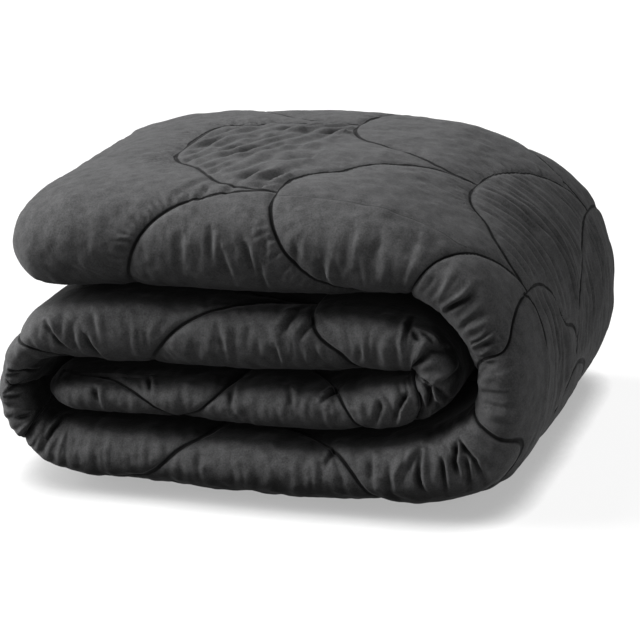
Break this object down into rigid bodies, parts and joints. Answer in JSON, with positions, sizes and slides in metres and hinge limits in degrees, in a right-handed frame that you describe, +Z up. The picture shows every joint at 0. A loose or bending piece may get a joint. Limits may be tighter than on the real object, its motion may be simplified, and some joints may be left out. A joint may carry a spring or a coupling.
{
  "type": "folded summer duvet",
  "caption": "Quilted filled summer duvet folded into a soft stack, with rounded fold edges and sewn overlapping-circle quilting.",
  "frame": {"origin": "middle of the flat underside of the folded stack", "axes": "+Z up, the stack is wide along X, the row of rounded fold edges faces -Y, the large outer bend is at +X"},
  "size_m": [0.4752, 0.405, 0.2634],
  "materials": {
    "charcoal_fabric": "brushed matte with a soft sheen"
  },
  "bodies": {
    "root": {"folded_duvet": "charcoal_fabric"}
  },
  "joints": []
}
